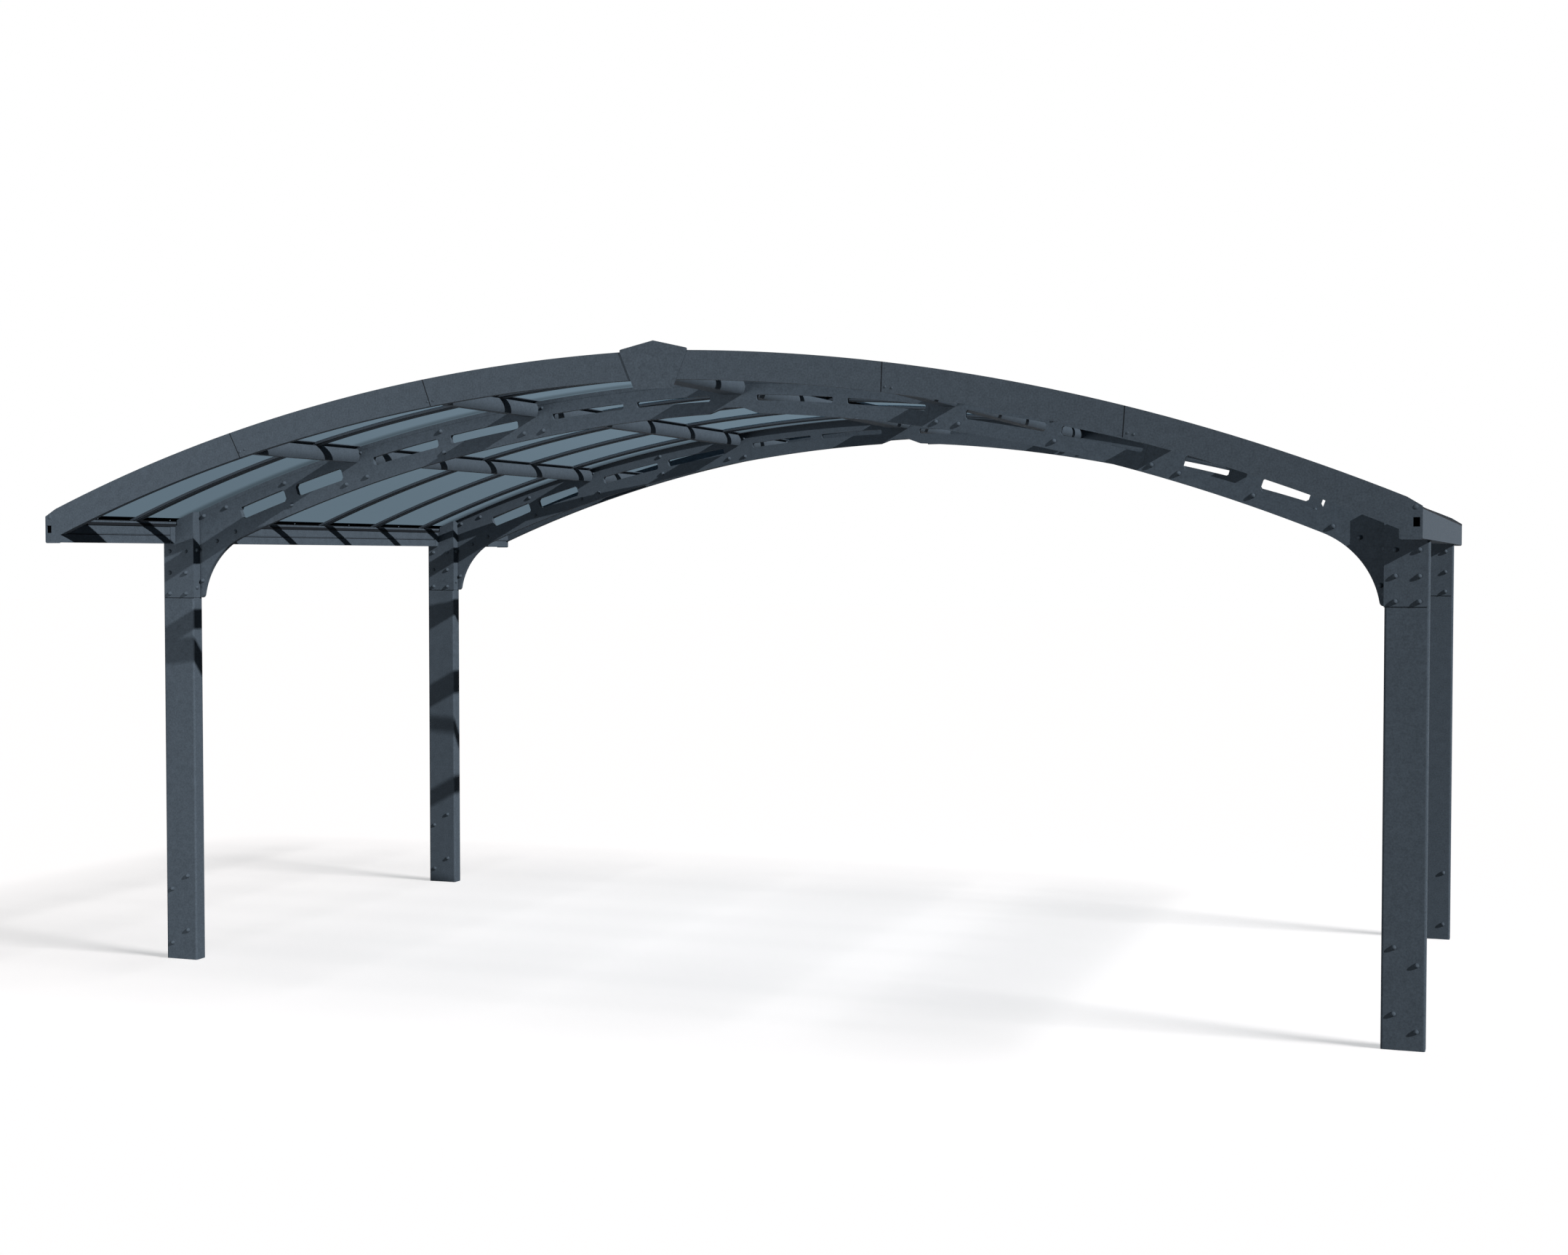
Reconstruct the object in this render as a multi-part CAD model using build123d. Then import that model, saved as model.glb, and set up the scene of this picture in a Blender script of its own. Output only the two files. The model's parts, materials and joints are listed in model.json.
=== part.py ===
"""Double carport: four box posts, two slotted arch frames and a curved glazed roof.

Frame: millimetres, +Z up, origin on the ground at the middle of the four posts.
+X is to the right seen from the entrance side, and the entrance faces -Y.
"""
from build123d import *
import math
import os

# Plan of the posts
POST_SPAN = 5000.0  # outer face to outer face, across the carport
POST_RUN = 2273.0  # front of the front posts to back of the back posts
POST_WIDTH = 145.5
POST_DEPTH = 62.0
POST_WALL = 2.5
POST_CORNER_RADIUS = 8.0

# Roof form: two arcs that meet at the ridge, each struck from beyond the ridge line
ROOF_RADIUS = 6623.0  # to the top edge of the gable fascia
ROOF_CENTRE_OFFSET = 111.0
ROOF_RIDGE_HEIGHT = 2363.0  # top edge of the fascia at the ridge
ROOF_OVERHANG = 717.5  # fascia in front of the posts, and behind them
ROOF_SIDE_OVERHANG = 9.5  # gutter face beyond the outer face of the posts

# Glazing
PANEL_DROP = 27.0  # fascia top edge down to the top of the panels
PANEL_THICKNESS = 6.0
PANEL_BAYS = 8
PANEL_EAVE_INSET = 16.0  # panel edge inside the outer gutter face
PANEL_RIDGE_GAP = 6.0
PANEL_END_GAP = 1.0
PANEL_JOINT = 1.0  # between neighbouring panels, over a bar
GLAZING_GAP = 0.3  # seat of the panels on bars and purlins
BAR_WIDTH = 46.0
BAR_DEPTH = 12.5
BAR_EAVE_INSET = 52.0
BAR_RIDGE_GAP = 3.0
EAVE_STRIP_WIDTH = 44.0  # upper leg of the channel on the low edge of the panels
EAVE_STRIP_WALL = 2.5
EAVE_STRIP_GAP = 3.0  # lower leg clear of the ends of the bars

# Gable fascia
FASCIA_DEPTH = 98.5
FASCIA_WALL = 3.0
FASCIA_FLANGE = 26.0
FASCIA_END_DROP = 8.5  # top of the square end under the roof line
FASCIA_END_HEIGHT = 101.0  # square end that closes the gutter
FASCIA_CHAMFER_WIDTH = 46.5
FASCIA_CORNER_RADIUS = 7.0
FASCIA_SEAM_TILT = 11.0  # degrees off the radial line
FASCIA_SEAM_LAG = 12.0  # fascia seam outside the splice of the arch
FASCIA_SEAM_SHIFT = 22.0  # all the seams stand this far to the left
FASCIA_SEAM_GAP = 0.6
DRAIN_WIDTH = 20.0
DRAIN_HEIGHT = 28.5
DRAIN_SIDE_INSET = 7.5
DRAIN_RISE = 38.5  # bottom of the drain above the bottom of the tab

# Keystone plate over the fascia joint at the ridge
KEYSTONE_RISE = 33.0
KEYSTONE_SHOULDER = 126.0
KEYSTONE_SHOULDER_RISE = 4.0
KEYSTONE_FOOT = 71.0
KEYSTONE_FOOT_DROP = 131.0
KEYSTONE_THICKNESS = 3.0
KEYSTONE_CORNER_RADIUS = 6.0

# Ridge cover on top of the glazing bars
COVER_HALF_WIDTH = 40.0
COVER_WALL = 2.5
COVER_RISE = 10.0
COVER_LIP = 8.0

# Arch frames
ARCH_THICKNESS = 20.0
ARCH_PANEL_GAP = 5.0  # top edge of the arch under the panels
ARCH_RADIUS_STEP = 426.0  # lower edge struck with a radius this much shorter than the roof line
ARCH_OFFSET_STEP = 86.5  # and from a centre this much further beyond the ridge line
ARCH_RIDGE_DEPTH = 124.0  # depth of the arch at the ridge, without its notch
ARCH_SEAM_GAP = 0.4
KNEE_RADIUS = 313.0
KNEE_FOOT_DROP = 222.0  # foot of the knee under the gutter
KNEE_FOOT_RADIUS = 14.0
NOTCH_TOP_HALF = 34.0
NOTCH_HALF = 97.0
NOTCH_DEPTH = 19.0

# Slots of the arch frames, measured along the arc from the ridge outwards
SLOT_EDGE = 57.0  # top edge of the arch to the top of a slot
SLOT_RIDGE_LAND = 93.0
SLOT_LAND = 151.0  # blank length at each splice
SLOT_WEB = 56.0  # blank length between the two slots of a segment
SLOT_POST_LAND = 210.0  # blank length beside the post
SLOT_LENGTH_SHARES = (0.365, 0.365, 0.27)  # of the slotted length, from ridge to eave
SLOT_RIDGE_HEIGHT = 22.0
SLOT_MIDDLE_HEIGHT = 33.0
SLOT_EAVE_HEIGHT = 49.0
SLOT_CORNER_SHARE = 0.2  # corner cut over slot height
SPLICE_LAP = 62.0  # splice line to the visible seam

# Purlins
PURLIN_WIDTH = 60.0
PURLIN_FOOT_WIDTH = 42.0
RIDGE_PURLIN_WIDTH = 96.0
RIDGE_PURLIN_FOOT_WIDTH = 72.0
PURLIN_HEAD_TAPER = 6.0  # narrower at the head than at the belly
PURLIN_SET_OUT = 15.0  # purlin centre outside the splice line
PURLIN_NECK_WIDTH = 22.0
PURLIN_END_GAP = 0.2
PURLIN_NOTCH_GAP = 1.0  # beside a glazing bar that crosses a purlin

# Gutters
GUTTER_WIDTH = 68.5
GUTTER_WALL = 2.5
GUTTER_RISE = 3.0  # bottom of the gutter above the bottom of the fascia
GUTTER_OUTER_HEIGHT = 95.0
GUTTER_LIP_WIDTH = 12.0
GUTTER_LIP_INSET = 4.0  # of that width, on the inner side of the wall
GUTTER_LIP_DEPTH = 8.0
GUTTER_LIP_GAP = 0.2  # under the glazing bars
GUTTER_RIB_RISE = 34.0
GUTTER_RIB_HEIGHT = 3.0
GUTTER_RIB_DEPTH = 1.5

# Head brackets on the posts
BRACKET_WALL = 2.5
HEAD_GUTTER_GAP = 11.0  # post head beside the gutter
HEAD_GAP = 2.0  # post head under the line of the arch
EAR_LENGTH = 34.0
EAR_GAP = 0.6  # top of the ear under the lip of the gutter

OVERRUN = 10.0

# Derived places
HALF_SPAN = POST_SPAN / 2
HALF_RUN = POST_RUN / 2
POST_INNER = HALF_SPAN - POST_WIDTH
ROOF_EDGE = HALF_SPAN + ROOF_SIDE_OVERHANG
ROOF_FRONT = HALF_RUN + ROOF_OVERHANG
CENTRE_HEIGHT = ROOF_RIDGE_HEIGHT - math.sqrt(ROOF_RADIUS**2 - ROOF_CENTRE_OFFSET**2)
PANEL_TOP_RADIUS = ROOF_RADIUS - PANEL_DROP
PANEL_RADIUS = PANEL_TOP_RADIUS - PANEL_THICKNESS
BAR_RADIUS = PANEL_RADIUS - BAR_DEPTH
ARCH_RADIUS = PANEL_RADIUS - ARCH_PANEL_GAP
ARCH_LOWER_RADIUS = ROOF_RADIUS - ARCH_RADIUS_STEP
ARCH_LOWER_OFFSET = ROOF_CENTRE_OFFSET + ARCH_OFFSET_STEP
SLOT_RADIUS = ARCH_RADIUS - SLOT_EDGE
FASCIA_LOWER_RADIUS = ROOF_RADIUS - FASCIA_DEPTH
EAVE_HEIGHT = CENTRE_HEIGHT + math.sqrt(ROOF_RADIUS**2 - (ROOF_EDGE + ROOF_CENTRE_OFFSET) ** 2)
FASCIA_END_TOP = EAVE_HEIGHT - FASCIA_END_DROP
FASCIA_TAB_BOTTOM = FASCIA_END_TOP - FASCIA_END_HEIGHT
GUTTER_BOTTOM = FASCIA_TAB_BOTTOM + GUTTER_RISE
GUTTER_INNER = ROOF_EDGE - GUTTER_WIDTH
KNEE_FOOT_HEIGHT = GUTTER_BOTTOM - KNEE_FOOT_DROP
HEAD_OUTER = GUTTER_INNER - HEAD_GUTTER_GAP
BAY = 2 * (ROOF_FRONT - FASCIA_WALL) / PANEL_BAYS
BAR_PLACES = [BAY * index - ROOF_FRONT + FASCIA_WALL for index in range(1, PANEL_BAYS)]
ARCH_FRONTS = {"front": POST_DEPTH - ARCH_THICKNESS - HALF_RUN, "back": HALF_RUN - ARCH_THICKNESS}
POST_FRONTS = {"front": -HALF_RUN, "back": HALF_RUN - POST_DEPTH}
RIDGE_ANGLE = math.asin(ROOF_CENTRE_OFFSET / SLOT_RADIUS)
POST_ANGLE = math.asin((POST_INNER + ROOF_CENTRE_OFFSET) / SLOT_RADIUS)
SLOT_LANDS = SLOT_RIDGE_LAND + 2 * SLOT_LAND + 3 * SLOT_WEB + SLOT_POST_LAND
SLOTTED_LENGTH = ((POST_ANGLE - RIDGE_ANGLE) * SLOT_RADIUS - SLOT_LANDS) / 2
SLOT_LENGTHS = [share * SLOTTED_LENGTH for share in SLOT_LENGTH_SHARES]
SEGMENT_SLOTS = [
    (SLOT_RIDGE_LAND, SLOT_LENGTHS[0], SLOT_RIDGE_HEIGHT),
    (SLOT_LAND, SLOT_LENGTHS[1], SLOT_MIDDLE_HEIGHT),
    (SLOT_LAND, SLOT_LENGTHS[2], SLOT_EAVE_HEIGHT),
]
UPPER_SPLICE = SLOT_RIDGE_LAND + 2 * SLOT_LENGTHS[0] + SLOT_WEB + SLOT_LAND / 2
LOWER_SPLICE = UPPER_SPLICE + SLOT_LAND + 2 * SLOT_LENGTHS[1] + SLOT_WEB


def arc_height(radius, x):
    """Height of the roof arc of this radius at a distance x from the ridge line."""
    return CENTRE_HEIGHT + math.sqrt(radius**2 - (abs(x) + ROOF_CENTRE_OFFSET) ** 2)


def station_angle(length):
    """Angle from the vertical, about the arc centre, at a length along the arc from the ridge."""
    return RIDGE_ANGLE + length / SLOT_RADIUS


def arc_point(radius, angle):
    """Point of the right-hand roof arc at an angle from the vertical."""
    x = radius * math.sin(angle) - ROOF_CENTRE_OFFSET
    return (x, CENTRE_HEIGHT + radius * math.cos(angle))


def arc_between(centre, radius, start, end):
    """Circular edge from start to end, on the short way round."""
    middle = Vector(*start).add(Vector(*end)) * 0.5 - Vector(*centre)
    bulge = Vector(*centre) + middle.normalized() * radius
    return ThreePointArc(start, (bulge.X, bulge.Y), end)


def slab(sketch, front, depth):
    """Solid from an outline drawn across the carport, from its front face backwards."""
    return extrude(Plane.XZ.offset(-front) * sketch, amount=depth, dir=(0, 1, 0))


def mirrored(shape):
    """The same piece on the left-hand side."""
    return mirror(shape, about=Plane.YZ)


def lens(radius):
    """Everything under the roof line of this radius."""
    right = Pos(-ROOF_CENTRE_OFFSET, CENTRE_HEIGHT) * Circle(radius)
    left = Pos(ROOF_CENTRE_OFFSET, CENTRE_HEIGHT) * Circle(radius)
    return right & left


def strip(low_x, high_x):
    """Tall upright strip between two distances across the carport."""
    height = ROOF_RIDGE_HEIGHT + KEYSTONE_RISE
    return Pos((low_x + high_x) / 2, height / 2) * Rectangle(high_x - low_x, height)


def band(outer_radius, inner_radius, low_x, high_x):
    """Curved strip of the roof between two radii."""
    return (lens(outer_radius) - lens(inner_radius)) & strip(low_x, high_x)


def kerf(angle, tilt, gap):
    """Thin cutting blade across the roof line at an angle from the vertical, right or left."""
    side = math.copysign(1, angle)
    x, z = arc_point(SLOT_RADIUS, abs(angle))
    blade = Rectangle(gap, 2 * (SLOT_EDGE + FASCIA_DEPTH + ARCH_RIDGE_DEPTH))
    return Pos(side * x, z) * Rot(0, 0, tilt - math.degrees(angle)) * blade


def by_x(solids):
    """Solids in order from left to right."""
    return sorted(solids, key=lambda solid: solid.center().X)


def box_between(low, high):
    """Upright box between two corners."""
    size = [top - bottom for bottom, top in zip(low, high)]
    middle = [(top + bottom) / 2 for bottom, top in zip(low, high)]
    return Pos(*middle) * Box(*size)


def post_tube(front):
    """Right-hand post: hollow box section, with its outer shoulder cut down for the gutter."""
    section = RectangleRounded(POST_WIDTH, POST_DEPTH, POST_CORNER_RADIUS)
    bore = Rectangle(POST_WIDTH - 2 * POST_WALL, POST_DEPTH - 2 * POST_WALL)
    place = Pos(POST_INNER + POST_WIDTH / 2, front + POST_DEPTH / 2)
    tube = extrude(place * (section - bore), amount=ROOF_RIDGE_HEIGHT)
    head = lens(ARCH_RADIUS - HEAD_GAP) & strip(POST_INNER - OVERRUN, HEAD_OUTER)
    shoulder = strip(HEAD_OUTER - OVERRUN, HALF_SPAN + OVERRUN) & (
        Pos(HALF_SPAN, GUTTER_BOTTOM / 2) * Rectangle(POST_SPAN, GUTTER_BOTTOM)
    )
    return tube & slab(head + shoulder, front - OVERRUN, POST_DEPTH + 2 * OVERRUN)


def head_bracket(front):
    """Right-hand folded bracket: face plate, return towards the arch, and an ear on the gutter."""
    left = POST_INNER - BRACKET_WALL
    right = HALF_SPAN - POST_CORNER_RADIUS
    face_height = GUTTER_BOTTOM - KNEE_FOOT_HEIGHT
    plate = Pos((left + right) / 2, KNEE_FOOT_HEIGHT + face_height / 2)
    face = plate * Rectangle(right - left, face_height)
    above = Pos(0, KNEE_FOOT_HEIGHT) * Rectangle(POST_SPAN, ROOF_RIDGE_HEIGHT, align=(Align.CENTER, Align.MIN))
    head = lens(ARCH_RADIUS - HEAD_GAP) & strip(left, HEAD_OUTER) & above
    side = lens(ARCH_RADIUS - HEAD_GAP) & strip(left, POST_INNER) & above
    bracket = slab(face + head, front - BRACKET_WALL, BRACKET_WALL)
    bracket += slab(side, front - BRACKET_WALL, BRACKET_WALL + POST_DEPTH - ARCH_THICKNESS)
    ear_top = gutter_lip_top() - GUTTER_LIP_DEPTH - EAR_GAP
    bracket += box_between(
        (HEAD_OUTER - BRACKET_WALL, front - BRACKET_WALL, GUTTER_BOTTOM), (GUTTER_INNER, front, ear_top)
    )
    bracket += box_between(
        (GUTTER_INNER - BRACKET_WALL, front - EAR_LENGTH, GUTTER_BOTTOM), (GUTTER_INNER, front, ear_top)
    )
    return bracket


def slot_outlines():
    """Slots of the right half of an arch, two in each segment."""
    outlines = []
    start = 0
    for land, length, height in SEGMENT_SLOTS:
        start += land
        for _ in range(2):
            first = station_angle(start)
            last = station_angle(start + length)
            outlines.append(slot_outline(first, last, height))
            start += length + SLOT_WEB
        start -= SLOT_WEB
    return outlines


def slot_outline(first, last, height):
    """One slot that follows the arc between two angles."""
    low = SLOT_RADIUS - height
    centre = (-ROOF_CENTRE_OFFSET, CENTRE_HEIGHT)
    corners = [arc_point(SLOT_RADIUS, first), arc_point(SLOT_RADIUS, last)]
    corners += [arc_point(low, last), arc_point(low, first)]
    edges = [
        arc_between(centre, SLOT_RADIUS, corners[0], corners[1]),
        Line(corners[1], corners[2]),
        arc_between(centre, low, corners[2], corners[3]),
        Line(corners[3], corners[0]),
    ]
    face = make_face(edges)
    return chamfer(face.vertices(), SLOT_CORNER_SHARE * height)


def arch_outline():
    """Outline of the right half of an arch frame, with its knee beside the post."""
    top_centre = (-ROOF_CENTRE_OFFSET, CENTRE_HEIGHT)
    ridge_top = (0, arc_height(ARCH_RADIUS, 0))
    ridge_foot = ridge_top[1] - ARCH_RIDGE_DEPTH
    low_centre = (-ARCH_LOWER_OFFSET, ridge_foot - math.sqrt(ARCH_LOWER_RADIUS**2 - ARCH_LOWER_OFFSET**2))
    knee_x = POST_INNER - KNEE_FOOT_RADIUS - KNEE_RADIUS
    reach = ARCH_LOWER_RADIUS - KNEE_RADIUS
    knee_centre = (knee_x, low_centre[1] + math.sqrt(reach**2 - (knee_x + ARCH_LOWER_OFFSET) ** 2))
    along = (Vector(*knee_centre) - Vector(*low_centre)).normalized() * ARCH_LOWER_RADIUS
    tangent = Vector(*low_centre) + along
    tangent = (tangent.X, tangent.Y)
    notch_z = low_centre[1] + math.sqrt(ARCH_LOWER_RADIUS**2 - (NOTCH_HALF + ARCH_LOWER_OFFSET) ** 2)
    notch_foot = (NOTCH_HALF, notch_z)
    drop = KNEE_FOOT_HEIGHT - knee_centre[1]
    knee_foot = (knee_x + math.sqrt(KNEE_RADIUS**2 - drop**2), KNEE_FOOT_HEIGHT)
    post_foot = (POST_INNER, KNEE_FOOT_HEIGHT)
    post_top = (POST_INNER, arc_height(ARCH_RADIUS, POST_INNER))
    ridge_notch = (0, ridge_foot + NOTCH_DEPTH)
    notch_top = (NOTCH_TOP_HALF, ridge_foot + NOTCH_DEPTH)
    edges = [
        Line(ridge_notch, notch_top),
        Line(notch_top, notch_foot),
        arc_between(low_centre, ARCH_LOWER_RADIUS, notch_foot, tangent),
        arc_between(knee_centre, KNEE_RADIUS, tangent, knee_foot),
        Line(knee_foot, post_foot),
        Line(post_foot, post_top),
        arc_between(top_centre, ARCH_RADIUS, post_top, ridge_top),
        Line(ridge_top, ridge_notch),
    ]
    face = make_face(edges)
    foot = face.vertices().sort_by_distance((knee_foot[0], knee_foot[1], 0))[0]
    return fillet([foot], KNEE_FOOT_RADIUS)


def arch_segments():
    """Five pressed segments of an arch frame, from left to right, as outlines."""
    half = arch_outline()
    for slot in slot_outlines():
        half -= slot
    whole = half + mirror(half, about=Plane.YZ)
    for splice in (UPPER_SPLICE, LOWER_SPLICE):
        angle = station_angle(splice - SPLICE_LAP)
        for signed in (angle, -angle):
            whole -= kerf(signed, 0, ARCH_SEAM_GAP)
    return by_x(whole.faces())


def fascia_outline():
    """Right half of a gable fascia, with the square end that closes the gutter."""
    centre = (-ROOF_CENTRE_OFFSET, CENTRE_HEIGHT)
    kink_x = ROOF_EDGE - FASCIA_CHAMFER_WIDTH
    tab_inner = GUTTER_INNER
    ridge_top = (0, arc_height(ROOF_RADIUS, 0))
    ridge_foot = (0, arc_height(FASCIA_LOWER_RADIUS, 0))
    kink = (kink_x, arc_height(ROOF_RADIUS, kink_x))
    join = (tab_inner, arc_height(FASCIA_LOWER_RADIUS, tab_inner))
    edges = [
        arc_between(centre, ROOF_RADIUS, ridge_top, kink),
        Polyline(
            kink,
            (ROOF_EDGE, FASCIA_END_TOP),
            (ROOF_EDGE, FASCIA_TAB_BOTTOM),
            (tab_inner, FASCIA_TAB_BOTTOM),
            join,
        ),
        arc_between(centre, FASCIA_LOWER_RADIUS, join, ridge_foot),
        Line(ridge_foot, ridge_top),
    ]
    face = make_face(edges)
    face = fillet(face.vertices().group_by(Axis.Y)[0], FASCIA_CORNER_RADIUS)
    drain_x = ROOF_EDGE - DRAIN_SIDE_INSET - DRAIN_WIDTH / 2
    drain_z = FASCIA_TAB_BOTTOM + DRAIN_RISE + DRAIN_HEIGHT / 2
    return face - Pos(drain_x, drain_z) * Rectangle(DRAIN_WIDTH, DRAIN_HEIGHT)


def fascia_half():
    """Right half of the front fascia: face plate and a bottom flange that carries the purlin ends."""
    bottom = band(FASCIA_LOWER_RADIUS + FASCIA_WALL, FASCIA_LOWER_RADIUS, 0, GUTTER_INNER - GUTTER_LIP_INSET)
    half = slab(fascia_outline(), -ROOF_FRONT, FASCIA_WALL)
    return half + slab(bottom, -ROOF_FRONT, FASCIA_FLANGE)


def fascia_segments():
    """Six segments of the front fascia, from left to right."""
    half = fascia_half()
    blades = [Pos(0, ROOF_RIDGE_HEIGHT) * Rectangle(FASCIA_SEAM_GAP, ROOF_RIDGE_HEIGHT)]
    for splice in (UPPER_SPLICE, LOWER_SPLICE):
        place = splice + FASCIA_SEAM_LAG
        blades.append(kerf(station_angle(place - FASCIA_SEAM_SHIFT), FASCIA_SEAM_TILT, FASCIA_SEAM_GAP))
        blades.append(kerf(-station_angle(place + FASCIA_SEAM_SHIFT), FASCIA_SEAM_TILT, FASCIA_SEAM_GAP))
    pieces = []
    for side in (half, mirrored(half)):
        for blade in blades:
            side -= slab(blade, -ROOF_FRONT - OVERRUN, FASCIA_FLANGE + 2 * OVERRUN)
        pieces += side.solids()
    return by_x(pieces)


def keystone_plate():
    """Plate on the front of the fascia joint at the ridge."""
    outline = Polygon(
        (0, ROOF_RIDGE_HEIGHT + KEYSTONE_RISE),
        (KEYSTONE_SHOULDER, ROOF_RIDGE_HEIGHT + KEYSTONE_SHOULDER_RISE),
        (KEYSTONE_FOOT, ROOF_RIDGE_HEIGHT - KEYSTONE_FOOT_DROP),
        (-KEYSTONE_FOOT, ROOF_RIDGE_HEIGHT - KEYSTONE_FOOT_DROP),
        (-KEYSTONE_SHOULDER, ROOF_RIDGE_HEIGHT + KEYSTONE_SHOULDER_RISE),
        align=None,
    )
    shoulders = outline.vertices().sort_by(Axis.Y)[2:4]
    outline = fillet(shoulders, KEYSTONE_CORNER_RADIUS)
    return slab(outline, -ROOF_FRONT - KEYSTONE_THICKNESS, KEYSTONE_THICKNESS)


def ridge_cover():
    """Folded cover over the panel joint at the ridge, between the two gables."""
    foot = arc_height(PANEL_TOP_RADIUS, COVER_HALF_WIDTH) + GLAZING_GAP
    shoulder = foot + COVER_LIP
    inner = COVER_HALF_WIDTH - COVER_WALL
    outline = Polygon(
        (COVER_HALF_WIDTH, foot),
        (COVER_HALF_WIDTH, shoulder),
        (0, shoulder + COVER_RISE),
        (-COVER_HALF_WIDTH, shoulder),
        (-COVER_HALF_WIDTH, foot),
        (-inner, foot),
        (-inner, shoulder - COVER_WALL),
        (0, shoulder + COVER_RISE - COVER_WALL),
        (inner, shoulder - COVER_WALL),
        (inner, foot),
        align=None,
    )
    front = FASCIA_WALL + GLAZING_GAP - ROOF_FRONT
    return slab(outline, front, -2 * front)


def gutter_lip_top():
    """Top of the gutter lip, on the underside of the glazing bars."""
    return arc_height(BAR_RADIUS, GUTTER_INNER - GUTTER_LIP_INSET + GUTTER_LIP_WIDTH) - GUTTER_LIP_GAP


def gutter():
    """Right-hand gutter: open channel with a ribbed inner wall and a lip under the glazing bars."""
    inner = GUTTER_INNER
    lip_low = inner - GUTTER_LIP_INSET
    lip_high = lip_low + GUTTER_LIP_WIDTH
    lip_top = gutter_lip_top()
    outer_top = GUTTER_BOTTOM + GUTTER_OUTER_HEIGHT
    rib_low = GUTTER_BOTTOM + GUTTER_RIB_RISE
    outline = Polygon(
        (inner, GUTTER_BOTTOM),
        (ROOF_EDGE, GUTTER_BOTTOM),
        (ROOF_EDGE, outer_top),
        (ROOF_EDGE - GUTTER_WALL, outer_top),
        (ROOF_EDGE - GUTTER_WALL, GUTTER_BOTTOM + GUTTER_WALL),
        (inner + GUTTER_WALL, GUTTER_BOTTOM + GUTTER_WALL),
        (inner + GUTTER_WALL, lip_top - GUTTER_LIP_DEPTH),
        (lip_high, lip_top - GUTTER_LIP_DEPTH),
        (lip_high, lip_top),
        (lip_low, lip_top),
        (lip_low, lip_top - GUTTER_LIP_DEPTH),
        (inner, lip_top - GUTTER_LIP_DEPTH),
        (inner, rib_low + GUTTER_RIB_HEIGHT),
        (inner + GUTTER_RIB_DEPTH, rib_low + GUTTER_RIB_HEIGHT),
        (inner + GUTTER_RIB_DEPTH, rib_low),
        (inner, rib_low),
        align=None,
    )
    length = 2 * (ROOF_FRONT - FASCIA_WALL)
    return slab(outline, FASCIA_WALL - ROOF_FRONT, length)


def roof_line(radius, low_x, high_x):
    """Points of the roof line of this radius between two places, with the ridge where it lies between."""
    places = [low_x, 0, high_x] if low_x < 0 < high_x else [low_x, high_x]
    return [(x, arc_height(radius, x)) for x in places]


def purlin_section(centre, width, foot_width):
    """Barrel-sided section of a purlin and its neck, upright, with its head on the slope of the bars."""
    head_half = width / 2 - PURLIN_HEAD_TAPER
    foot_half = foot_width / 2
    head = roof_line(BAR_RADIUS - GLAZING_GAP, centre - head_half, centre + head_half)
    low = arc_height(FASCIA_LOWER_RADIUS + FASCIA_WALL + PURLIN_END_GAP, max(centre - foot_half, 0))
    left_foot = (centre - foot_half, low)
    right_foot = (centre + foot_half, low)
    belly = (low + arc_height(BAR_RADIUS, centre)) / 2
    edges = [
        Line(left_foot, right_foot),
        ThreePointArc(right_foot, (centre + width / 2, belly), head[-1]),
        Polyline(*head[::-1]),
        ThreePointArc(head[0], (centre - width / 2, belly), left_foot),
    ]
    neck_half = PURLIN_NECK_WIDTH / 2
    seat = roof_line(PANEL_RADIUS - GLAZING_GAP, centre - neck_half, centre + neck_half)
    root = roof_line(BAR_RADIUS - 2 * GLAZING_GAP, centre - neck_half, centre + neck_half)
    return make_face(edges), Polygon(*root, *seat[::-1], align=None)


def purlin_line(centre, width, foot_width):
    """Three lengths of purlin: fascia to arch, arch to arch, and arch to fascia."""
    body, neck = purlin_section(centre, width, foot_width)
    front_arch = ARCH_FRONTS["front"]
    back_arch = ARCH_FRONTS["back"]
    spans = [
        (FASCIA_WALL - ROOF_FRONT, front_arch),
        (front_arch + ARCH_THICKNESS, back_arch),
        (back_arch + ARCH_THICKNESS, ROOF_FRONT - FASCIA_WALL),
    ]
    half_notch = BAR_WIDTH / 2 + PURLIN_NOTCH_GAP
    pieces = []
    for front, back in spans:
        start = front + PURLIN_END_GAP
        end = back - PURLIN_END_GAP
        piece = slab(body, start, end - start)
        stops = [start]
        for place in BAR_PLACES:
            if start < place < end:
                stops += [place - half_notch, place + half_notch]
        stops.append(end)
        for low, high in zip(stops[::2], stops[1::2]):
            piece += slab(neck, low, high - low)
        pieces.append(piece)
    return Compound(children=pieces)


def roof_panels():
    """Right-hand panels, one in each bay."""
    curve = band(PANEL_TOP_RADIUS, PANEL_RADIUS, PANEL_RIDGE_GAP / 2, ROOF_EDGE - PANEL_EAVE_INSET)
    stops = [FASCIA_WALL - ROOF_FRONT] + BAR_PLACES + [ROOF_FRONT - FASCIA_WALL]
    panels = []
    for index in range(PANEL_BAYS):
        low = stops[index] + (PANEL_END_GAP if index == 0 else PANEL_JOINT / 2)
        high = stops[index + 1] - (PANEL_END_GAP if index == PANEL_BAYS - 1 else PANEL_JOINT / 2)
        panels += slab(curve, low, high - low).solids()
    return Compound(children=panels)


def glazing_bars():
    """Right-hand bars, under the joints of the panels."""
    outline = band(PANEL_RADIUS - GLAZING_GAP, BAR_RADIUS, BAR_RIDGE_GAP / 2, ROOF_EDGE - BAR_EAVE_INSET)
    bars = []
    for place in BAR_PLACES:
        bars += slab(outline, place - BAR_WIDTH / 2, BAR_WIDTH).solids()
    return Compound(children=bars)


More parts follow.
